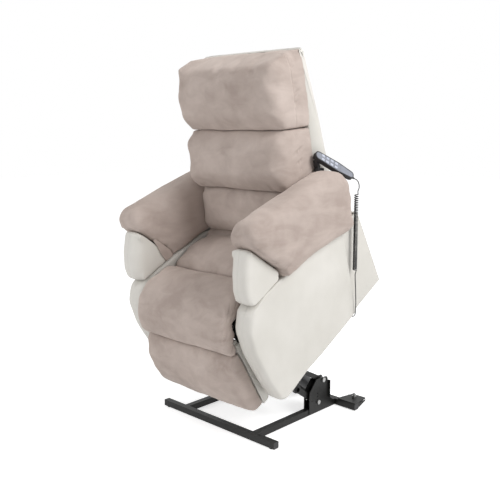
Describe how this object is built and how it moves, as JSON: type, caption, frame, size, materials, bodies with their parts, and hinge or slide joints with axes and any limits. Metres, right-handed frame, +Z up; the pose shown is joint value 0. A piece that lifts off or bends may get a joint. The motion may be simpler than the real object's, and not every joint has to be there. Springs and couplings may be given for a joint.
{
  "type": "lift recliner chair",
  "caption": "Powered lift recliner armchair, raised and tipped forward, with reclining back, fold-up legrest, side arms and a wired handset.",
  "frame": {"origin": "on the floor under the middle of the box round the raised chair without its handset cord", "axes": "+X towards the sitter's left, the sitter faces -Y, +Z up; the left and right sides mirror each other across X = 0 but for the handset and motors"},
  "size_m": [0.765, 0.861, 1.4941],
  "materials": {
    "base_paint": "satin",
    "zinc": "satin",
    "black_plastic": "matte",
    "timber": "raw",
    "webbing": "woven",
    "cream_leather": "satin",
    "suede": "napped",
    "grey_plastic": "satin",
    "key_plastic": "satin",
    "cord_jacket": "matte"
  },
  "bodies": {
    "base": {"front_tube": "base_paint", "rear_tube": "base_paint", "side_rails": "base_paint", "end_caps": "black_plastic", "towers": "base_paint", "tower_bolts": "zinc", "tower_spacers": "zinc", "foot_plates": "base_paint", "levelling_feet": "zinc", "lift_bracket": "base_paint"},
    "lift_arm": {"lower_links": "base_paint", "torque_tube": "base_paint"},
    "upper_link": {"upper_links": "base_paint"},
    "lift_motor": {"lift_actuator": "black_plastic"},
    "lift_piston": {"lift_rod": "zinc"},
    "chassis": {"link_plates": "base_paint", "chassis_bolts": "zinc", "front_cross_tube": "base_paint", "rear_cross_tube": "base_paint", "seat_side_rails": "timber", "seat_cross_rails": "timber", "hinge_ears": "base_paint", "seat_webbing": "webbing", "control_box": "black_plastic", "side_panel_left": "cream_leather", "side_panel_right": "cream_leather", "arm_front_left": "cream_leather", "arm_front_right": "cream_leather", "arm_pad_left": "suede", "arm_pad_right": "suede", "seat_cushion": "suede", "knee_pad": "suede", "rear_skirt": "cream_leather", "handset_shell": "black_plastic", "handset_face": "grey_plastic", "cord_grips": "black_plastic", "cord": "cord_jacket"},
    "backrest": {"back_uprights": "timber", "back_rails": "timber", "back_hinge_plates": "base_paint", "back_shell": "cream_leather", "lumbar_cushion": "suede", "mid_cushion": "suede", "head_cushion": "suede"},
    "legrest": {"legrest_board": "timber", "legrest_cover": "cream_leather", "legrest_arms": "base_paint", "legrest_pad": "suede"},
    "back_motor": {"back_actuator": "black_plastic"},
    "back_piston": {"back_rod": "zinc"},
    "leg_motor": {"leg_actuator": "black_plastic"},
    "leg_piston": {"leg_rod": "zinc"},
    "key_1": {"key_1": "key_plastic"},
    "key_2": {"key_2": "key_plastic"},
    "key_3": {"key_3": "key_plastic"},
    "key_4": {"key_4": "key_plastic"},
    "key_5": {"key_5": "key_plastic"},
    "key_6": {"key_6": "key_plastic"},
    "key_7": {"key_7": "key_plastic"},
    "key_8": {"key_8": "key_plastic"}
  },
  "joints": [
    {"name": "lift_arm_hinge", "type": "hinge", "parent": "base", "child": "lift_arm", "pos_m": [0, 0.17366, 0.05], "axis": [1, 0, 0], "range_deg": [0, 26.09]},
    {"name": "seat_hinge", "type": "hinge", "parent": "lift_arm", "child": "chassis", "pos_m": [0, -0.17356, 0.28682], "axis": [1, 0, 0], "range_deg": [-56.1, 0]},
    {"name": "upper_link_hinge", "type": "hinge", "parent": "base", "child": "upper_link", "pos_m": [0, 0.20566, 0.141], "axis": [1, 0, 0], "range_deg": [0, 26.66]},
    {"name": "lift_motor_hinge", "type": "hinge", "parent": "base", "child": "lift_motor", "pos_m": [0, 0.30766, 0.05], "axis": [1, 0, 0], "range_deg": [0, 19.4]},
    {"name": "lift_rod_slide", "type": "slide", "parent": "lift_motor", "child": "lift_piston", "axis": [0, -0.7859, 0.6183], "range_m": [-0.09133, 0]},
    {"name": "recline_hinge", "type": "hinge", "parent": "chassis", "child": "backrest", "pos_m": [0, 0.03648, 0.74301], "axis": [1, 0, 0], "range_deg": [-40, 0]},
    {"name": "back_motor_hinge", "type": "hinge", "parent": "chassis", "child": "back_motor", "pos_m": [0, -0.15101, 0.50775], "axis": [1, 0, 0], "range_deg": [-0.8629, 0]},
    {"name": "back_rod_slide", "type": "slide", "parent": "back_motor", "child": "back_piston", "axis": [0, 0.7785, 0.6277], "range_m": [-0.04912, 0]},
    {"name": "legrest_hinge", "type": "hinge", "parent": "chassis", "child": "legrest", "pos_m": [0, -0.37348, 0.49708], "axis": [1, 0, 0], "range_deg": [-80, 0]},
    {"name": "leg_motor_hinge", "type": "hinge", "parent": "chassis", "child": "leg_motor", "pos_m": [0, 0.03006, 0.51414], "axis": [1, 0, 0], "range_deg": [-1.88, 0]},
    {"name": "leg_rod_slide", "type": "slide", "parent": "leg_motor", "child": "leg_piston", "axis": [0, -0.9784, -0.2065], "range_m": [0, 0.09953]},
    {"name": "key_1_press", "type": "slide", "parent": "chassis", "child": "key_1", "axis": [-0.8321, 0.0941, -0.5467], "range_m": [0, 0.001], "stiffness_N_per_m": 400, "springref_m": -0.0005},
    {"name": "key_2_press", "type": "slide", "parent": "chassis", "child": "key_2", "axis": [-0.8321, 0.0941, -0.5467], "range_m": [0, 0.001], "stiffness_N_per_m": 400, "springref_m": -0.0005},
    {"name": "key_3_press", "type": "slide", "parent": "chassis", "child": "key_3", "axis": [-0.8321, 0.0941, -0.5467], "range_m": [0, 0.001], "stiffness_N_per_m": 400, "springref_m": -0.0005},
    {"name": "key_4_press", "type": "slide", "parent": "chassis", "child": "key_4", "axis": [-0.8321, 0.0941, -0.5467], "range_m": [0, 0.001], "stiffness_N_per_m": 400, "springref_m": -0.0005},
    {"name": "key_5_press", "type": "slide", "parent": "chassis", "child": "key_5", "axis": [-0.8321, 0.0941, -0.5467], "range_m": [0, 0.001], "stiffness_N_per_m": 400, "springref_m": -0.0005},
    {"name": "key_6_press", "type": "slide", "parent": "chassis", "child": "key_6", "axis": [-0.8321, 0.0941, -0.5467], "range_m": [0, 0.001], "stiffness_N_per_m": 400, "springref_m": -0.0005},
    {"name": "key_7_press", "type": "slide", "parent": "chassis", "child": "key_7", "axis": [-0.8321, 0.0941, -0.5467], "range_m": [0, 0.001], "stiffness_N_per_m": 400, "springref_m": -0.0005},
    {"name": "key_8_press", "type": "slide", "parent": "chassis", "child": "key_8", "axis": [-0.8321, 0.0941, -0.5467], "range_m": [0, 0.001], "stiffness_N_per_m": 400, "springref_m": -0.0005}
  ],
  "couplings": [
    {"joint": "seat_hinge", "follows": "lift_arm_hinge", "ratio": -2.1497},
    {"joint": "upper_link_hinge", "follows": "lift_arm_hinge", "ratio": 1.0218},
    {"joint": "lift_motor_hinge", "follows": "lift_arm_hinge", "ratio": 0.74324},
    {"joint": "lift_rod_slide", "follows": "lift_arm_hinge", "m_per_rad": -0.20053},
    {"joint": "back_motor_hinge", "follows": "recline_hinge", "ratio": 0.021561},
    {"joint": "back_rod_slide", "follows": "recline_hinge", "m_per_rad": 0.070362},
    {"joint": "leg_motor_hinge", "follows": "legrest_hinge", "ratio": 0.023512},
    {"joint": "leg_rod_slide", "follows": "legrest_hinge", "m_per_rad": -0.07128}
  ]
}
